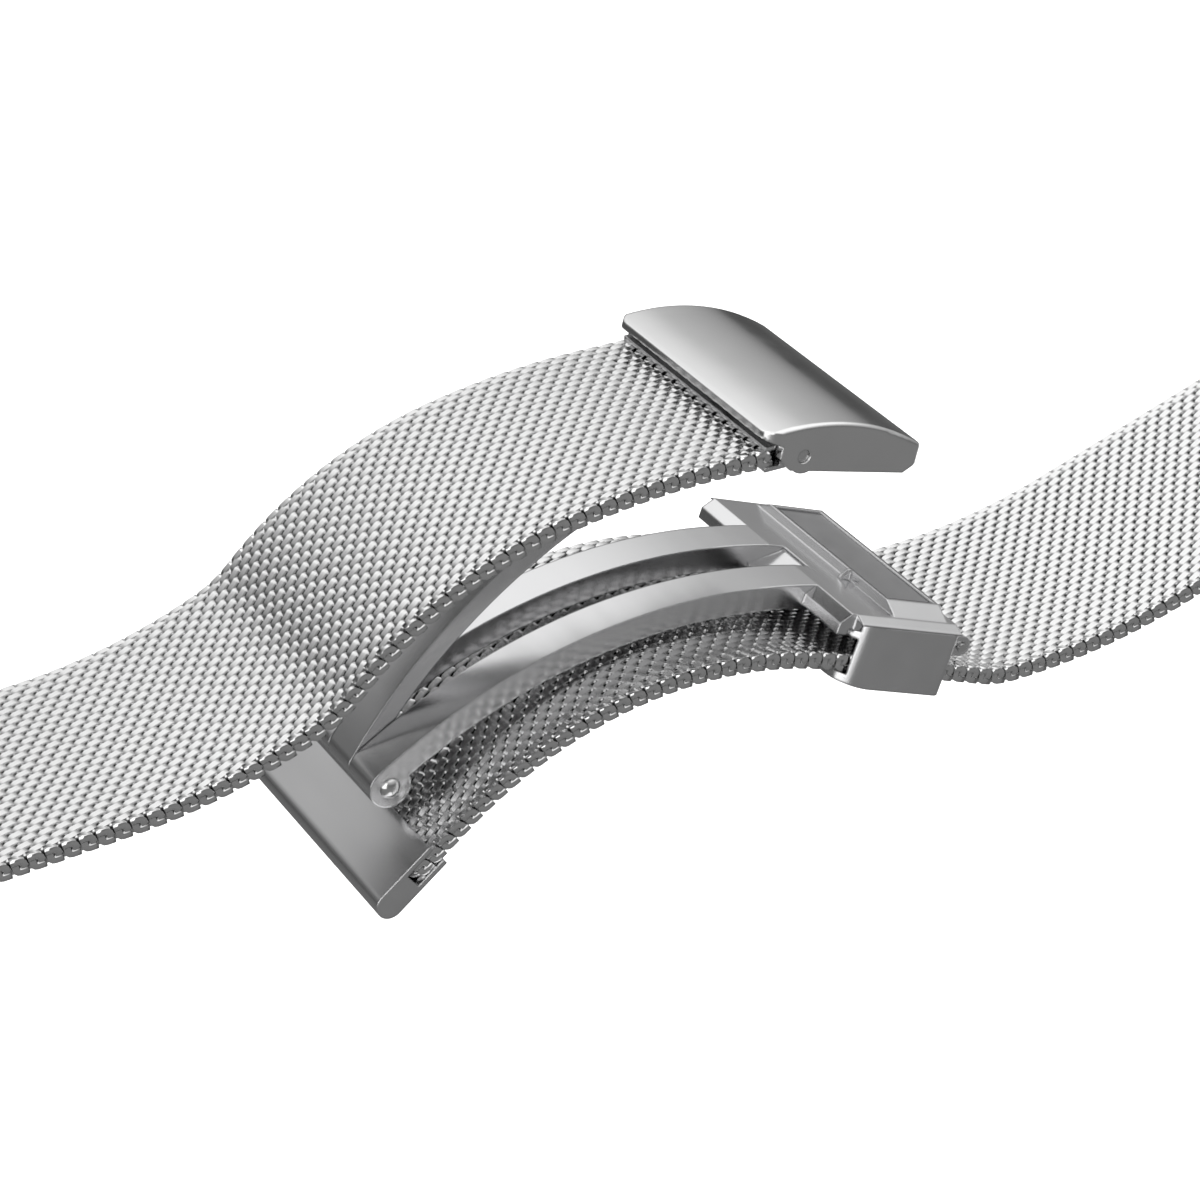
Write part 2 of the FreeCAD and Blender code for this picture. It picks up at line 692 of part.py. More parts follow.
def make_cover():
    """The clasp cover: a crowned shell, open below and at the end where the short strap goes in."""
    body = new_body("clasp_cover", cover)
    outer = add_sketch(body, "cover_outline", cover_outline())
    add_pad(body, "cover_pad", outer, "2 * Sizes.cover_half_width")
    heel = Part.Circle(Vector(0, 0, 0), UP, size("cover_heel"))
    add_pad(body, "heel_pad", add_sketch(body, "heel_outline", [heel]), "2 * Sizes.cover_half_width")
    block = body.Tip
    fillet = body.newObject("PartDesign::Fillet", "cover_edge_fillet")
    fillet.Base = (block, outer_edges(block.Shape))
    fillet.setExpression("Radius", "Sizes.cover_edge_round")
    body.Tip = fillet
    doc.recompute()
    lip_end = -size("cover_front") - size("cover_lip")
    for side in (-1, 1):
        name = "near" if side < 0 else "far"
        corner = lip_corner(lip_end, side * size("cover_half_width"), size("cover_lip"), side)
        sketch = add_sketch(body, f"lip_corner_{name}", corner, "XY_Plane")
        add_pocket(body, f"lip_round_{name}", sketch, "3 * Sizes.cover_half_width")
    hollow = add_sketch(body, "cover_hollow_outline", hollow_outline())
    add_pocket(body, "cover_hollow", hollow, "2 * (Sizes.cover_half_width - Sizes.cover_wall)")
    bore(body, "cover_pin_hole", (0, 0), size("cover_pin_radius") + size("pin_gap"), "3 * Sizes.cover_half_width")


def outer_edges(shape):
    """Names of the cover's long top edges, and of the edges round its closed end."""
    names = []
    back = size("cover_back")
    for index, edge in enumerate(shape.Edges, start=1):
        middle = edge.CenterOfMass
        on_side = abs(abs(middle.y) - size("cover_half_width")) < 1e-6
        crown = on_side and middle.z > size("cover_crown") * 0.4
        closed_end = abs(middle.x - back) < 1e-6
        if crown and middle.x > 0 or closed_end:
            names.append(f"Edge{index}")
    return names


def make_cover_pin():
    """The pin through the cover, the ferrule and the eye of the leaf."""
    half = size("cover_half_width") - size("pin_recess")
    length = "2 * (Sizes.cover_half_width - Sizes.pin_recess)"
    nodes.append(cylinder("cover_pin", "Sizes.cover_pin_radius", length, cover_pin[0], -half, cover_pin[1]))


def make_ferrule():
    """The ferrule on the clasp end of the short strap, notched in the middle for the leaf."""
    body = new_body("strap_ferrule", (cover_pin[0], cover_pin[1], 0))
    half = size("ferrule_thick") / 2
    reach = -size("ferrule_reach")
    edges = [
        line((reach, half), (0, half)),
        arc((0, 0), half, -90, 90),
        line((0, -half), (reach, -half)),
        line((reach, -half), (reach, half)),
    ]
    add_pad(body, "ferrule_pad", add_sketch(body, "ferrule_outline", edges), "Sizes.strap_width")
    notch = -size("ferrule_notch")
    middle = [(notch, half + 0.1), (half + 0.1, half + 0.1), (half + 0.1, -half - 0.1), (notch, -half - 0.1)]
    width = "Sizes.arm_gap + 4 * Sizes.side_gap"
    add_pocket(body, "eye_notch", add_sketch(body, "eye_notch_outline", loop(middle)), width)
    under = [(reach - 0.1, 0), (notch + 0.1, 0), (notch + 0.1, -half - 0.1), (reach - 0.1, -half - 0.1)]
    add_pocket(body, "neck_notch", add_sketch(body, "neck_notch_outline", loop(under)), width)
    slot = size("mesh_thick") / 2
    inner = reach + size("grip_depth")
    mouth = [(reach - 0.1, slot), (inner, slot), (inner, -slot), (reach - 0.1, -slot)]
    add_pocket(body, "mesh_seat", add_sketch(body, "mesh_seat_outline", loop(mouth)), "Sizes.strap_width")
    bore(body, "ferrule_hole", (0, 0), size("cover_pin_radius") + size("pin_gap"), "2 * Sizes.strap_width")


def make_watch_end(which, frame, skin):
    """One watch end: fitting with a bore and knob slot, and its quick release spring bar.

    The frame stands on the bar axis, its +x leads to the mesh, and skin is the sign of z
    on the side that lies on the wrist, where the knob is."""
    fitting = new_body(f"lug_fitting_{which}", frame)
    radius = size("lug_radius")
    half = size("lug_plate_thick") / 2
    drop = size("lug_drop")
    tangent = math.degrees(math.acos(half / radius))
    edges = [
        arc((0, 0), radius, 90 - tangent, 270 + tangent),
        line(polar((0, 0), radius, 90 - tangent), (drop, half)),
        line((drop, half), (drop, -half)),
        line((drop, -half), polar((0, 0), radius, 270 + tangent)),
    ]
    add_pad(fitting, f"fitting_pad_{which}", add_sketch(fitting, f"fitting_outline_{which}", edges), "Sizes.lug_width")
    slot = size("mesh_thick") / 2
    inner = drop - size("grip_depth")
    mouth = [(inner, slot), (drop + 0.1, slot), (drop + 0.1, -slot), (inner, -slot)]
    sketch = add_sketch(fitting, f"fitting_seat_{which}", loop(mouth))
    add_pocket(fitting, f"fitting_slot_{which}", sketch, "2 * Sizes.lug_width")
    bore(fitting, f"bar_bore_{which}", (0, 0), size("bar_radius") + size("pin_gap"), "2 * Sizes.lug_width")
    knob_y = -size("lug_width") / 2 + size("knob_inset")
    side = size("knob_radius") + size("side_gap")
    low = knob_y - side
    high = knob_y + side + size("bar_travel")
    opening = loop([(-side, low), (side, low), (side, high), (-side, high)])
    sketch = add_sketch(fitting, f"knob_slot_outline_{which}", opening, "XY_Plane")
    add_pocket(fitting, f"knob_slot_{which}", sketch, "2 * Sizes.lug_radius", False, skin > 0)
    make_spring_bar(which, frame, knob_y, (low, high), skin)


def make_spring_bar(which, frame, knob_y, slot_ends, skin):
    """Tube, fixed tip, sprung plunger with its knob, and the spring."""
    half = size("lug_width") / 2
    wall = size("bar_wall")
    inner = size("bar_radius") - wall
    here = placement(frame)

    tube = cylinder(f"bar_outer_{which}", "Sizes.bar_radius", "Sizes.lug_width", 0, -half, 0)
    hollow = cylinder(f"bar_hollow_{which}", "Sizes.bar_radius - Sizes.bar_wall", "2 * Sizes.lug_width", 0, -2 * half, 0)
    tube_cut = cut(f"bar_pipe_{which}", tube, hollow)
    gate = doc.addObject("Part::Box", f"bar_gate_{which}")
    side = size("knob_radius") + size("side_gap")
    gate.Length = 2 * side
    gate.Width = slot_ends[1] - slot_ends[0]
    gate.Height = 2 * size("bar_radius")
    gate_low = min(0, skin * 2 * size("bar_radius"))
    gate.Placement = FreeCAD.Placement(Vector(-side, slot_ends[0], gate_low), FreeCAD.Rotation())
    slotted = cut(f"bar_tube_{which}", tube_cut, gate)
    slotted.Placement = here
    nodes.append(slotted)

    reach = size("bar_tip_reach")
    shank = size("bar_shank")
    tip = cylinder(f"tip_point_{which}", "Sizes.bar_tip_radius", "Sizes.bar_tip_reach + Sizes.bar_shank", 0, half - shank, 0)
    plug = cylinder(f"tip_plug_{which}", "Sizes.bar_radius - Sizes.bar_wall - Sizes.pin_gap", "Sizes.bar_shank", 0, half - shank, 0)
    fixed = fused(f"bar_tip_{which}", [tip, plug])
    fixed.Placement = here
    nodes.append(fixed)

    end = -half - reach
    back = knob_y + size("knob_radius") + size("bar_collar")
    rod = doc.addObject("Part::Cylinder", f"plunger_point_{which}")
    rod.setExpression("Radius", "Sizes.bar_tip_radius")
    rod.Height = back - end
    rod.Placement = FreeCAD.Placement(Vector(0, end, 0), ALONG_Y)
    guide = doc.addObject("Part::Cylinder", f"plunger_guide_{which}")
    guide.setExpression("Radius", "Sizes.bar_radius - Sizes.bar_wall - Sizes.pin_gap")
    guide.Height = back + half
    guide.Placement = FreeCAD.Placement(Vector(0, -half, 0), ALONG_Y)
    socket = doc.addObject("Part::Cylinder", f"knob_socket_{which}")
    socket.setExpression("Radius", "Sizes.knob_radius - 5 * Sizes.pin_gap")
    socket.Height = inner
    socket.Placement = FreeCAD.Placement(Vector(0, knob_y, min(0, skin * inner)), FreeCAD.Rotation())
    plunger = cut(f"bar_plunger_{which}", fused(f"plunger_body_{which}", [rod, guide]), socket)
    plunger.Placement = here
    nodes.append(plunger)

    stem = doc.addObject("Part::Cylinder", f"knob_stem_{which}")
    stem.setExpression("Radius", "Sizes.knob_radius - 5 * Sizes.pin_gap")
    stem.setExpression("Height", "Sizes.knob_reach")
    stem.Placement = FreeCAD.Placement(Vector(0, knob_y, min(0, skin * size("knob_reach"))), FreeCAD.Rotation())
    button = doc.addObject("Part::Cylinder", f"knob_head_{which}")
    button.setExpression("Radius", "Sizes.knob_radius")
    button.Height = size("knob_reach") - size("lug_radius") - size("side_gap")
    button_low = -size("knob_reach") if skin < 0 else size("lug_radius") + size("side_gap")
    button.Placement = FreeCAD.Placement(Vector(0, knob_y, button_low), FreeCAD.Rotation())
    knob = fused(f"bar_knob_{which}", [stem, button])
    knob.Placement = here
    nodes.append(knob)

    begin = back + size("pin_gap")
    length = half - shank - size("pin_gap") - begin
    spring_outer = doc.addObject("Part::Cylinder", f"spring_outer_{which}")
    spring_outer.setExpression("Radius", "Sizes.bar_radius - Sizes.bar_wall - 2 * Sizes.pin_gap")
    spring_outer.Height = length
    spring_outer.Placement = FreeCAD.Placement(Vector(0, begin, 0), ALONG_Y)
    spring_hole = doc.addObject("Part::Cylinder", f"spring_hole_{which}")
    spring_hole.setExpression("Radius", "Sizes.bar_radius - 2 * Sizes.bar_wall")
    spring_hole.Height = length
    spring_hole.Placement = FreeCAD.Placement(Vector(0, begin, 0), ALONG_Y)
    spring = cut(f"bar_spring_{which}", spring_outer, spring_hole)
    spring.Placement = here
    nodes.append(spring)


short_end = make_mesh_straps()
make_end_cap()
make_slider_housing()
make_lock_pin()
make_bridge()
make_plateau_plate()
make_hinge_pin()
make_leaf()
make_cover()
make_cover_pin()
make_ferrule()
make_watch_end("long", (0, 0, long_heading), 1)
short_dx, short_dz = turned((size("lug_drop") - size("grip_depth"), 0), short_end[2])
make_watch_end("short", (short_end[0] + short_dx, short_end[1] + short_dz, short_end[2] - 180), -1)

doc.recompute()
for item in doc.Objects:
    if "Invalid" in item.State or "Error" in item.State:
        raise RuntimeError(f"{item.Label} failed: {item.State}")
for node in nodes:
    if node.Shape.isNull() or not node.Shape.isValid() or not node.Shape.Solids:
        raise RuntimeError(f"{node.Label} has no valid solid")

os.makedirs("parts", exist_ok=True)
for node in nodes:
    node.Shape.exportStep(f"parts/{node.Label}.step")
    box = node.Shape.BoundBox
    print(f"{node.Label}: {len(node.Shape.Solids)} solid, {node.Shape.Volume:.2f} mm3, "
          f"x {box.XMin:.2f}..{box.XMax:.2f} z {box.ZMin:.2f}..{box.ZMax:.2f}")
print("hinge", hinge, "cover pin", cover_pin, "lock pin", moved(slider, lock_pin), "slider", slider)
print("closed leaf angle", closed_angle, "leaf", leaf, "cover", cover)
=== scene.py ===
import bpy
import json
import math
import numpy as np
from mathutils import Matrix, Vector


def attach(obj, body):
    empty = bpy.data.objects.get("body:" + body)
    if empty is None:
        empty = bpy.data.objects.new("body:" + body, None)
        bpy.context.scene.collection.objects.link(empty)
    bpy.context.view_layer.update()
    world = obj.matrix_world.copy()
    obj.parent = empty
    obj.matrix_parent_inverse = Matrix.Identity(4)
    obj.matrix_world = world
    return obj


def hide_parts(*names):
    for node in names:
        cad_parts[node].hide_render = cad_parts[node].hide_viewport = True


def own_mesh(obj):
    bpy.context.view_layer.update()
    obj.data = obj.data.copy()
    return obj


MM = 0.001

# The two strap paths, as in the source: (length,) is straight, (radius, turn) an arc, in mm and degrees.
LONG_START = (-2.858, -1.65, 210.0)
LONG_STEPS = (
    (20.0,), (130.0, -11.3), (14.0,), (49.0, -18.7),
    (7.4, -20.5), (14.0,), (30.1, 59.0), (5.4,),
)
SHORT_STEPS = ((4.9,), (57.5, 12.0), (30.5, 34.0), (8.7, -21.8), (40.6, -19.7), (18.2,))

# Places in the picture's plane, x and z in mm. The slider also has its slope in degrees.
COVER_PIN = (-91.579, -6.202)
SHORT_REACH = 1.44
LONG_BAR = (0.0, 0.0)
SHORT_BAR = (-163.06, -23.13)
SLIDER = (-82.555, -26.009, -20.5)

# Woven wire, in mm
STRAP_WIDTH = 20.0
MESH_THICK = 1.3
SPIRAL_STEP = 0.6
TURN_PITCH = 1.43
WIRE_HALF_HEIGHT = 0.25
WIRE_HALF_WIDTH = 0.31
FLAT_HALF_WIDTH = 0.25
SIDE_HALF_HEIGHT = 0.10
SPIRAL_CORNER = 0.30
CORNER_STEPS = 3
TOP_SLANT = 0.24
SPIRAL_HALF_LENGTH = 0.60
WIRE_END_LEAD = 0.31 * TURN_PITCH
WEAVE_INSET = 0.9
# The painted shade in the wire's colour fades out over this band at the strap's sides
SHADE_MARGIN = 0.35
SHADE_FADE = 0.5
SPIRALS_PER_PIECE = 44

# Springs inside the bars, along y, in mm
SPRING_FROM = -4.78
SPRING_TO = 7.58
SPRING_RADIUS = 0.58
SPRING_WIRE_RADIUS = 0.08
SPRING_TURNS = 26
SPRING_STEPS_PER_TURN = 20
SPRING_WIRE_SIDES = 8

# Spur on the deck: its section along and off the slider, in mm
SPUR_SECTION = ((-1.85, 3.8), (-2.75, 3.8), (-2.62, 4.02), (-2.1, 4.62), (-1.85, 4.62))
SPUR_Y = -3.4
SPUR_HALF_WIDTH = 0.22
SPUR_TIP_FROM = 4.3
SPUR_TIP_SHARE = 0.55

# Camera: place in mm, directions, and lens in mm
CAMERA_AT = (-219.47, -217.6, 120.65)
CAMERA_RIGHT = (0.87931, -0.47625, 0.0)
CAMERA_FORWARD = (0.41393, 0.76421, -0.49456)
CAMERA_LENS = 120.0
SENSOR_WIDTH = 36.0

# Surroundings that the metal mirrors: brightness from straight away (0) to straight towards the light (1)
LIGHT_FROM = (0.15, 0.20, 0.97)
SKY_STOPS = (
    (0.0, 0.20), (0.50, 0.17), (0.60, 0.14), (0.674, 0.36),
    (0.795, 0.56), (0.84, 0.88), (0.88, 1.2), (1.0, 1.3),
)
FLOOR_LEVEL = -0.075
FLOOR_REACH = 6.0
FLOOR_GLOW = 0.72
FLOOR_MIRRORED = ((-0.1, 0.21), (0.3, 0.08))
LAMPS = (
    ("key", (-0.45, 0.35, 0.70), 0.5, 0.5),
    ("fill", (-0.80, -0.30, 0.20), 0.9, 4.0),
)
LAMPS_AIM = (-0.09, 0, -0.02)

# Painted shade: how far the woven wire's base colour is darkened with its depth in the strap
DEPTH_FROM, DEPTH_TO = 0.08, 0.75
DEEP_PAINTED_SHADE = 0.06

BEVEL_SAMPLES = 6
RELIEF_HEIGHT = 0.00002


def turned(point, angle):
    c, s = math.cos(math.radians(angle)), math.sin(math.radians(angle))
    return (point[0] * c - point[1] * s, point[0] * s + point[1] * c)


def path_frames(start, steps, stations):
    """Points, forward tangents and left normals of a path at distances along it."""
    points = np.zeros((len(stations), 2))
    tangents = np.zeros((len(stations), 2))
    x, z, heading = start
    begin = 0.0
    for number, step in enumerate(steps):
        length = path_length([step])
        last = number == len(steps) - 1
        inside = (stations >= begin) & ((stations < begin + length) | last)
        if number == 0:
            inside |= stations < 0
        travel = stations[inside] - begin
        if len(step) == 1:
            dx, dz = turned((1, 0), heading)
            points[inside] = np.array([x, z]) + travel[:, None] * np.array([dx, dz])
            tangents[inside] = (dx, dz)
            x, z = x + dx * length, z + dz * length
        else:
            radius, turn = step
            side = math.copysign(1, turn)
            cx, cz = turned((0, side * radius), heading)
            angle = np.radians(heading) + side * travel / radius
            points[inside, 0] = x + cx + side * radius * np.sin(angle)
            points[inside, 1] = z + cz - side * radius * np.cos(angle)
            tangents[inside, 0] = np.cos(angle)
            tangents[inside, 1] = np.sin(angle)
            ex, ez = turned((0, -side * radius), heading + turn)
            x, z, heading = x + cx + ex, z + cz + ez, heading + turn
        begin += length
    normals = np.stack([-tangents[:, 1], tangents[:, 0]], axis=1)
    return points, tangents, normals


def path_length(steps):
    return sum(s[0] if len(s) == 1 else s[0] * math.radians(abs(s[1])) for s in steps)


def spiral_section():
    """Points round one turn: along, off, y and outward direction, from the middle of the left bend."""
    a, b, r = SPIRAL_HALF_LENGTH, MESH_THICK / 2 - WIRE_HALF_HEIGHT, SPIRAL_CORNER
    corners = (
        (-a + r, b - r, 180, 90), (a - r, b - r, 90, 0),
        (a - r, -b + r, 0, -90), (-a + r, -b + r, -90, -180),
    )
    rows = []
    for cx, cz, begin, end in corners:
        for part in range(CORNER_STEPS + 1):
            angle = math.radians(begin + (end - begin) * part / CORNER_STEPS)
            c, s = math.cos(angle), math.sin(angle)
            rows.append((cx + r * c, cz + r * s, c, s))
    side = b - r
    straight = TOP_SLANT * 2 * (a - r)
    bend = TURN_PITCH / 2 - straight
    arc = math.pi * r / 2
    whole = 2 * arc + 2 * side
    parts = range(CORNER_STEPS + 1)
    rise = []
    for half_turn in range(2):
        base = half_turn * TURN_PITCH / 2
        crossed = base + bend * (side + arc) / whole + straight
        rise += [base + bend * (side + arc * part / CORNER_STEPS) / whole for part in parts]
        rise += [crossed + bend * arc * part / CORNER_STEPS / whole for part in parts]
    rows = np.array(rows)
    return rows[:, 0], rows[:, 1], np.array(rise), rows[:, 2:]


def spiral_centreline(odd):
    """One flattened spiral of wire across the strap: offsets along and off the strap, and y."""
    along, off, rise, outward = spiral_section()
    half = STRAP_WIDTH / 2 - WIRE_HALF_WIDTH
    turns = int(math.ceil(2 * half / TURN_PITCH)) + 2
    count = len(along)
    shift = count // 2 if odd else 0
    index = np.arange(turns * count) + shift
    begin = -half - TURN_PITCH - (TURN_PITCH / 2 if odd else 0)
    y = begin + (index // count) * TURN_PITCH + rise[index % count]
    keep = (y > -half - WIRE_END_LEAD) & (y < half + WIRE_END_LEAD)
    y = np.clip(y, -half, half)
    turn = index[keep] % count
    return along[turn], off[turn], y[keep], outward[turn]


def unit_rows(rows):
    return rows / np.linalg.norm(rows, axis=1)[:, None]


def weave_piece(name, start, steps, centres, body, node, material):
    """Interlocked wire spirals at the given stations of a path, as one mesh."""
    h, w, f, g = WIRE_HALF_HEIGHT, WIRE_HALF_WIDTH, FLAT_HALF_WIDTH, SIDE_HALF_HEIGHT
    ring = np.array([(h, f), (g, w), (-g, w), (-h, f), (-h, -f), (-g, -w), (g, -w), (h, -f)])
    sides = len(ring)
    vertices, faces, wire_ends, depths = [], [], [], []
    base = 0
    for number, centre in centres:
        along, off, y, outward = spiral_centreline(number % 2 == 1)
        points, tangents, normals = path_frames(start, steps, centre - along)
        up = -normals
        forward = -tangents
        mid = points + up * off[:, None]
        line = np.stack([mid[:, 0], y, mid[:, 1]], axis=1)
        out = forward * outward[:, :1] + up * outward[:, 1:]
        out = np.stack([out[:, 0], np.zeros(len(out)), out[:, 1]], axis=1)
        tangent = unit_rows(np.gradient(line, axis=0))
        first = unit_rows(out - tangent * np.sum(out * tangent, axis=1)[:, None])
        second = np.cross(tangent, first)
        circle = first[:, None, :] * ring[None, :, :1] + second[:, None, :] * ring[None, :, 1:]
        wire = line[:, None, :] + circle
        vertices.append(wire.reshape(-1, 3))
        spread = circle[:, :, 0] * up[:, :1] + circle[:, :, 2] * up[:, 1:]
        # Painted shade mask: each wire point's depth in the strap, fading to none near the strap's sides;
        # it darkens the wire's colour
        inside = np.clip((STRAP_WIDTH / 2 - SHADE_MARGIN - np.abs(wire[:, :, 1])) / SHADE_FADE, 0, 1)
        depths.append((1 - np.abs(off[:, None] + spread) / (MESH_THICK / 2)) * inside)
        count = len(line)
        i = np.arange(count - 1)[:, None] * sides + base
        j = np.arange(sides)[None, :]
        k = (j + 1) % sides
        faces.append(np.stack([i + j, i + k, i + k + sides, i + j + sides], axis=2).reshape(-1, 4))
        wire_ends.append(base + np.arange(sides)[::-1])
        wire_ends.append(base + (count - 1) * sides + np.arange(sides))
        base += count * sides
    vertices = np.concatenate(vertices) * MM
    quads = np.concatenate(faces)
    caps = np.stack(wire_ends)
    mesh = bpy.data.meshes.new(name)
    mesh.vertices.add(len(vertices))
    mesh.vertices.foreach_set("co", vertices.ravel())
    loops = np.concatenate([quads.ravel(), caps.ravel()])
    mesh.loops.add(len(loops))
    mesh.loops.foreach_set("vertex_index", loops.astype(np.int32))
    starts = np.concatenate([np.arange(len(quads)) * 4, len(quads) * 4 + np.arange(len(caps)) * sides])
    mesh.polygons.add(len(starts))
    mesh.polygons.foreach_set("loop_start", starts.astype(np.int32))
    mesh.update(calc_edges=True)
    mesh.validate()
    mesh.shade_smooth()
    edges = np.zeros(len(mesh.edges) * 2, dtype=np.int32)
    mesh.edges.foreach_get("vertices", edges)
    column = edges.reshape(-1, 2) % sides
    along_wire = column[:, 0] == column[:, 1]
    beside_flat = along_wire & ((column[:, 0] == 0) | (column[:, 0] == sides - 1))
    sharp = mesh.attributes.new("sharp_edge", "BOOLEAN", "EDGE")
    sharp.data.foreach_set("value", beside_flat)
    # The painted shade mask, stored on the points
    depth = mesh.attributes.new("depth", "FLOAT", "POINT")
    depth.data.foreach_set("value", np.concatenate([d.ravel() for d in depths]).astype(np.float32))
    place(name, mesh, material, body, node)


def place(name, mesh, material, body, node=None):
    """A piece made of the mesh, riding a body; it stands for a node of the frame if one is named."""
    mesh.materials.append(material)
    piece = bpy.data.objects.new(name, mesh)
    bpy.context.scene.collection.objects.link(piece)
    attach(piece, body)
    if node:
        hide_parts(node)
    return piece


def weave(prefix, start, steps, body, node, material):
    """The whole woven strap, in pieces along its length."""
    begin, end = WEAVE_INSET, path_length(steps) - WEAVE_INSET
    number = int((end - begin) / SPIRAL_STEP)
    step = (end - begin) / number
    centres = [(n, begin + n * step) for n in range(number + 1)]
    for index in range(0, len(centres), SPIRALS_PER_PIECE):
        part = centres[index:index + SPIRALS_PER_PIECE]
        weave_piece(f"{prefix}_{index // SPIRALS_PER_PIECE + 1}", start, steps, part, body, node, material)


def principled(name, base, rough, grain, grain_scale, stretch=(1, 1, 1), bump=0.0, soft=0.0, spread=0.08):
    """A metal whose roughness, tone and fine bump vary as worked steel does."""
    material = bpy.data.materials.new(name)
    material.use_nodes = True
    nodes, links = material.node_tree.nodes, material.node_tree.links
    shader = nodes["Principled BSDF"]
    shader.inputs["Metallic"].default_value = 1.0
    coords = nodes.new("ShaderNodeTexCoord")
    mapping = nodes.new("ShaderNodeMapping")
    mapping.inputs["Scale"].default_value = stretch
    links.new(coords.outputs["Object"], mapping.inputs["Vector"])
    noise = nodes.new("ShaderNodeTexNoise")
    noise.inputs["Scale"].default_value = grain_scale
    noise.inputs["Detail"].default_value = 3.0
    links.new(mapping.outputs["Vector"], noise.inputs["Vector"])
    rough_map = nodes.new("ShaderNodeMapRange")
    rough_map.inputs["To Min"].default_value = max(0.02, rough - spread)
    rough_map.inputs["To Max"].default_value = rough + spread
    links.new(noise.outputs["Fac"], rough_map.inputs["Value"])
    links.new(rough_map.outputs["Result"], shader.inputs["Roughness"])
    tone = nodes.new("ShaderNodeMixRGB")
    tone.inputs["Color1"].default_value = (*[c * (1 - grain) for c in base], 1)
    tone.inputs["Color2"].default_value = (*base, 1)
    links.new(noise.outputs["Fac"], tone.inputs["Fac"])
    links.new(tone.outputs["Color"], shader.inputs["Base Color"])
    if soft:
        edges = nodes.new("ShaderNodeBevel")
        edges.samples = BEVEL_SAMPLES
        edges.inputs["Radius"].default_value = soft * MM
        links.new(edges.outputs["Normal"], shader.inputs["Normal"])
    if bump:
        relief = nodes.new("ShaderNodeBump")
        relief.inputs["Strength"].default_value = bump
        relief.inputs["Distance"].default_value = RELIEF_HEIGHT
        links.new(noise.outputs["Fac"], relief.inputs["Height"])
        if soft:
            links.new(edges.outputs["Normal"], relief.inputs["Normal"])
        links.new(relief.outputs["Normal"], shader.inputs["Normal"])
    return material


def paint_shade_by_depth(material):
    """Painted shade: the wires' base colour is darkened where they dive into the weave."""
    nodes, links = material.node_tree.nodes, material.node_tree.links
    shader = nodes["Principled BSDF"]
    tone = shader.inputs["Base Color"].links[0].from_socket
    depth = nodes.new("ShaderNodeAttribute")
    depth.attribute_name = "depth"
    fade = nodes.new("ShaderNodeMapRange")
    fade.inputs["From Min"].default_value = DEPTH_FROM
    fade.inputs["From Max"].default_value = DEPTH_TO
    fade.inputs["To Min"].default_value = 1.0
    fade.inputs["To Max"].default_value = DEEP_PAINTED_SHADE
    links.new(depth.outputs["Fac"], fade.inputs["Value"])
    mix = nodes.new("ShaderNodeVectorMath")
    # The painted shade multiplies the wire's base colour
    mix.operation = "SCALE"
    links.new(tone, mix.inputs[0])
    links.new(fade.outputs["Result"], mix.inputs["Scale"])
    links.new(mix.outputs["Vector"], shader.inputs["Base Color"])


def make_camera():
    data = bpy.data.cameras.new("camera")
    data.lens = CAMERA_LENS
    data.sensor_width = SENSOR_WIDTH
    data.clip_start = 0.01
    data.clip_end = 20.0
    camera = bpy.data.objects.new("camera", data)
    bpy.context.scene.collection.objects.link(camera)
    right = Vector(CAMERA_RIGHT)
    forward = Vector(CAMERA_FORWARD)
    up = right.cross(forward).normalized()
    rotation = Matrix((right.normalized(), up, -forward.normalized())).transposed()
    camera.matrix_world = Matrix.Translation(Vector(CAMERA_AT) * MM) @ rotation.to_4x4()
    bpy.context.scene.camera = camera


def make_world():
    """White to the camera. What the metal mirrors is bright above and behind, and darker low in front."""
    world = bpy.data.worlds.new("world")
    bpy.context.scene.world = world
    world.use_nodes = True
    nodes, links = world.node_tree.nodes, world.node_tree.links
    nodes.clear()
    out = nodes.new("ShaderNodeOutputWorld")
    white = nodes.new("ShaderNodeBackground")
    white.inputs["Color"].default_value = (1, 1, 1, 1)
    around = nodes.new("ShaderNodeBackground")
    rays = nodes.new("ShaderNodeLightPath")
    mix = nodes.new("ShaderNodeMixShader")
    coords = nodes.new("ShaderNodeTexCoord")
    dot = nodes.new("ShaderNodeVectorMath")
    dot.operation = "DOT_PRODUCT"
    dot.inputs[1].default_value = Vector(LIGHT_FROM).normalized()
    ramp = nodes.new("ShaderNodeValToRGB")
    elements = ramp.color_ramp.elements
    for element, (position, tone) in zip(elements, (SKY_STOPS[0], SKY_STOPS[-1])):
        element.position = position
        element.color = (tone, tone, tone, 1)
    for position, tone in SKY_STOPS[1:-1]:
        elements.new(position).color = (tone, tone, tone, 1)
    half = nodes.new("ShaderNodeMath")
    half.operation = "MULTIPLY_ADD"
    half.inputs[1].default_value = 0.5
    half.inputs[2].default_value = 0.5
    links.new(coords.outputs["Generated"], dot.inputs[0])
    links.new(dot.outputs["Value"], half.inputs[0])
    links.new(half.outputs["Value"], ramp.inputs["Fac"])
    links.new(ramp.outputs["Color"], around.inputs["Color"])
    links.new(rays.outputs["Is Camera Ray"], mix.inputs["Fac"])
    links.new(around.outputs["Background"], mix.inputs[1])
    links.new(white.outputs["Background"], mix.inputs[2])
    links.new(mix.outputs["Shader"], out.inputs["Surface"])


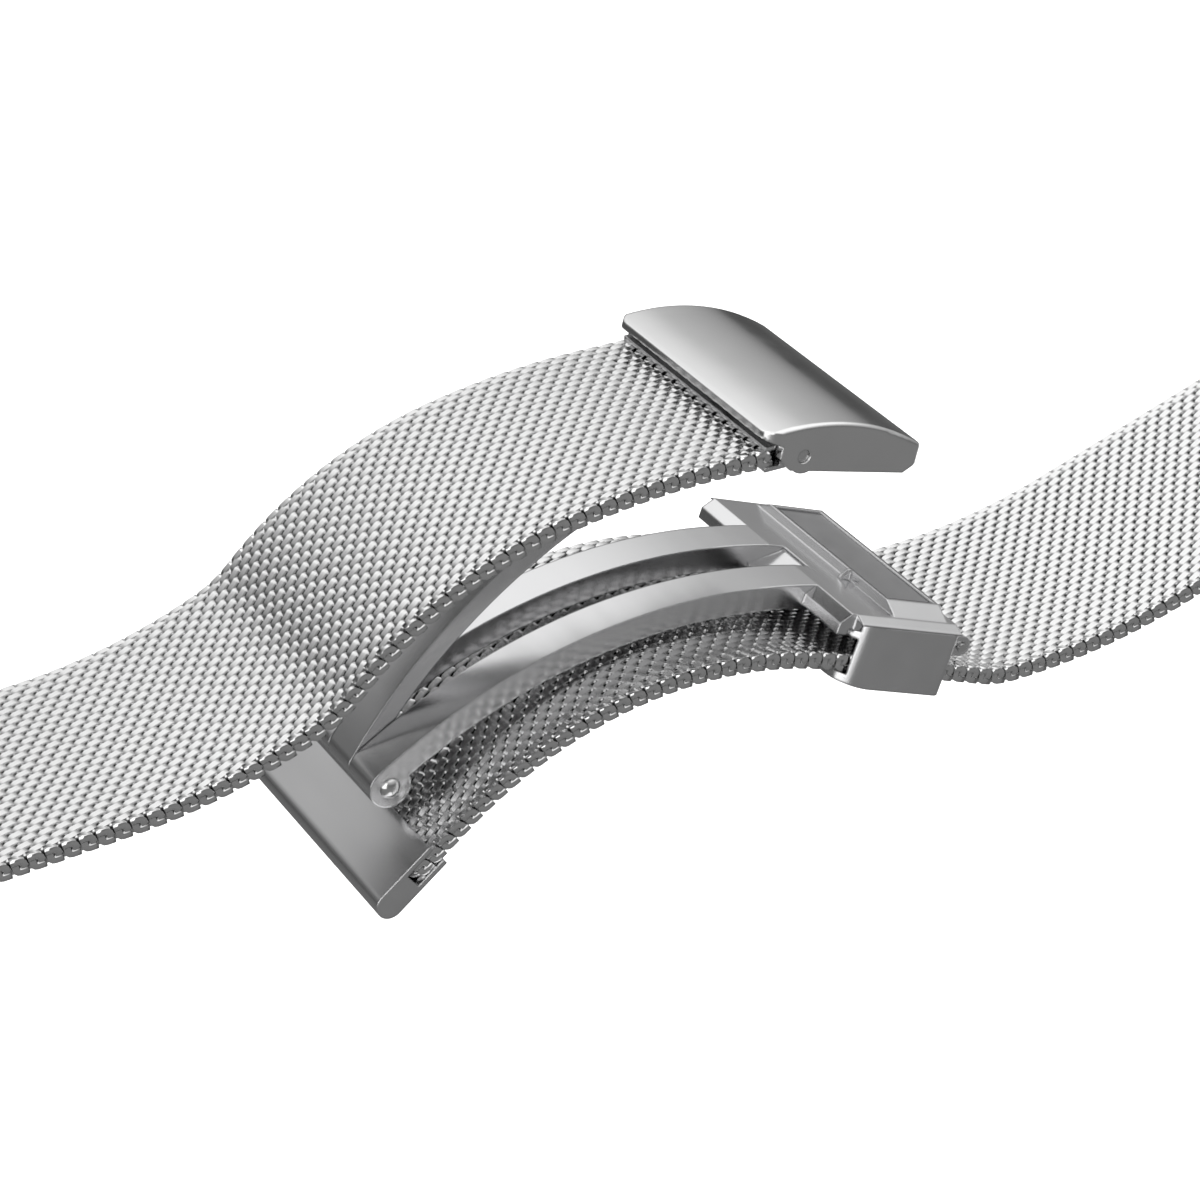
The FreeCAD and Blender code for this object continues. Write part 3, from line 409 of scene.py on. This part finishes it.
def floor_material():
    """Pale and unlit-looking; mirrored in the metal it is darker, and darkest at the back."""
    material = bpy.data.materials.new("floor")
    material.use_nodes = True
    nodes, links = material.node_tree.nodes, material.node_tree.links
    shader = nodes["Principled BSDF"]
    shader.inputs["Base Color"].default_value = (0.82, 0.82, 0.82, 1)
    shader.inputs["Roughness"].default_value = 1.0
    shader.inputs["Specular IOR Level"].default_value = 0.0
    glow = nodes.new("ShaderNodeEmission")
    glow.inputs["Strength"].default_value = FLOOR_GLOW
    plain = nodes.new("ShaderNodeAddShader")
    rays = nodes.new("ShaderNodeLightPath")
    mirror = nodes.new("ShaderNodeEmission")
    ground = nodes.new("ShaderNodeTexCoord")
    apart = nodes.new("ShaderNodeSeparateXYZ")
    shade = nodes.new("ShaderNodeMapRange")
    for end, (y, tone) in zip(("Min", "Max"), FLOOR_MIRRORED):
        shade.inputs["From " + end].default_value = y
        shade.inputs["To " + end].default_value = tone
    links.new(ground.outputs["Object"], apart.inputs["Vector"])
    links.new(apart.outputs["Y"], shade.inputs["Value"])
    links.new(shade.outputs["Result"], mirror.inputs["Strength"])
    choose = nodes.new("ShaderNodeMixShader")
    links.new(shader.outputs["BSDF"], plain.inputs[0])
    links.new(glow.outputs["Emission"], plain.inputs[1])
    links.new(rays.outputs["Is Glossy Ray"], choose.inputs["Fac"])
    links.new(plain.outputs["Shader"], choose.inputs[1])
    links.new(mirror.outputs["Emission"], choose.inputs[2])
    links.new(choose.outputs["Shader"], nodes["Material Output"].inputs["Surface"])
    return material


def make_floor():
    mesh = bpy.data.meshes.new("floor")
    signs = ((-1, -1), (1, -1), (1, 1), (-1, 1))
    corners = [(x * FLOOR_REACH, y * FLOOR_REACH, FLOOR_LEVEL) for x, y in signs]
    mesh.from_pydata(corners, [], [(0, 1, 2, 3)])
    floor = bpy.data.objects.new("floor", mesh)
    bpy.context.scene.collection.objects.link(floor)
    mesh.materials.append(floor_material())


def make_lamps():
    for name, location, size, power in LAMPS:
        data = bpy.data.lights.new(name, "AREA")
        data.size = size
        data.energy = power
        light = bpy.data.objects.new(name, data)
        light.location = location
        aim = Vector(LAMPS_AIM) - Vector(location)
        light.rotation_mode = "QUATERNION"
        light.rotation_quaternion = aim.to_track_quat("-Z", "Y")
        bpy.context.scene.collection.objects.link(light)


def coil_spring(name, axis, body, node, material):
    """The coil that pushes a bar's plunger out, built at one fixed length."""
    count = SPRING_TURNS * SPRING_STEPS_PER_TURN + 1
    turn = np.linspace(0, 2 * math.pi * SPRING_TURNS, count)
    low_end, high_end = SPRING_FROM + SPRING_WIRE_RADIUS, SPRING_TO - SPRING_WIRE_RADIUS
    outward = np.stack([np.cos(turn), np.zeros(count), np.sin(turn)], axis=1)
    line = outward * SPRING_RADIUS
    line[:, 1] = low_end + (high_end - low_end) * turn / turn[-1]
    line += np.array([axis[0], 0, axis[1]])
    across = np.cross(unit_rows(np.gradient(line, axis=0)), outward)
    sides = SPRING_WIRE_SIDES
    angle = (np.arange(sides) * 2 * math.pi / sides)[None, :, None]
    ring = outward[:, None, :] * np.cos(angle) + across[:, None, :] * np.sin(angle)
    points = (line[:, None, :] + ring * SPRING_WIRE_RADIUS).reshape(-1, 3) * MM
    faces = [
        (i * sides + j, i * sides + (j + 1) % sides, (i + 1) * sides + (j + 1) % sides, (i + 1) * sides + j)
        for i in range(count - 1) for j in range(sides)
    ]
    faces += [tuple(range(sides - 1, -1, -1)), tuple((count - 1) * sides + j for j in range(sides))]
    mesh = bpy.data.meshes.new(name)
    mesh.from_pydata([tuple(p) for p in points], [], faces)
    mesh.shade_smooth()
    piece = place(name, mesh, material, body, node)
    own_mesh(piece)


def spur(name, material):
    """A small wedge-shaped spur that stands on the deck against the plateau."""
    x, z, slope = SLIDER
    corners = []
    for side in (-1, 1):
        for point in SPUR_SECTION:
            width = SPUR_HALF_WIDTH * (1 if point[1] < SPUR_TIP_FROM else SPUR_TIP_SHARE)
            along, up = turned(point, slope)
            corners.append(((x + along) * MM, (SPUR_Y + side * width) * MM, (z + up) * MM))
    count = len(SPUR_SECTION)
    faces = [tuple(range(count)), tuple(range(2 * count - 1, count - 1, -1))]
    faces += [(i, i + count, (i + 1) % count + count, (i + 1) % count) for i in range(count)]
    mesh = bpy.data.meshes.new(name)
    mesh.from_pydata(corners, [], faces)
    place(name, mesh, material, "bridge")


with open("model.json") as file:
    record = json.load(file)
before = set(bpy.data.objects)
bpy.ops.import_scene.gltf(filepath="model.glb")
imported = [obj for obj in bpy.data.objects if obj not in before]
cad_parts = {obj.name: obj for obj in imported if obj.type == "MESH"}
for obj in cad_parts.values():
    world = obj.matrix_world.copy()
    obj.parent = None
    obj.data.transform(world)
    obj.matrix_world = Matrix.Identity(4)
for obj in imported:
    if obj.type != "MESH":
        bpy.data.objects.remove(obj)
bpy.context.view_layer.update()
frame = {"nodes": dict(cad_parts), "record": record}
bpy.context.scene.view_settings.view_transform = "Standard"

make_camera()
make_world()
make_floor()
make_lamps()

FINISH = {
    "mesh_steel": principled("woven_steel", (0.80, 0.80, 0.80), 0.18, 0.06, 900.0),
    "clasp_steel": principled(
        "clasp_steel", (0.74, 0.74, 0.745), 0.22, 0.05, 500.0, (1, 0.1, 1), bump=0.1, soft=0.22
    ),
    "polished_steel": principled("polished_steel", (0.80, 0.80, 0.80), 0.14, 0.03, 300.0, soft=0.22),
    "plate_steel": principled("plate_steel", (0.42, 0.42, 0.425), 0.42, 0.05, 700.0, soft=0.05),
    "pin_steel": principled("pin_steel", (0.70, 0.70, 0.70), 0.22, 0.05, 700.0, soft=0.08),
    "spring_steel": principled("spring_steel", (0.55, 0.55, 0.56), 0.30, 0.05, 700.0),
}
# Painted shade in the woven wire's colour, darker deeper in the weave
paint_shade_by_depth(FINISH["mesh_steel"])
for part in frame["record"]["subparts"]:
    node = frame["nodes"][part["node"]]
    finish = FINISH[part["material_slot"]]
    if node.data.materials:
        for index in range(len(node.data.materials)):
            node.data.materials[index] = finish
    else:
        node.data.materials.append(finish)

SHORT_START = (COVER_PIN[0] - SHORT_REACH, COVER_PIN[1], 180.0)
MESH_STEEL = FINISH["mesh_steel"]
SPRING_STEEL = FINISH["spring_steel"]
weave("weave_long", LONG_START, LONG_STEPS, "long_band", "mesh_strap_long", MESH_STEEL)
weave("weave_short", SHORT_START, SHORT_STEPS, "short_band", "mesh_strap_short", MESH_STEEL)
coil_spring("coil_spring_long", LONG_BAR, "long_band", "bar_spring_long", SPRING_STEEL)
coil_spring(
    "coil_spring_short", SHORT_BAR, "short_band", "bar_spring_short", SPRING_STEEL
)
spur("latch_spur", FINISH["clasp_steel"])
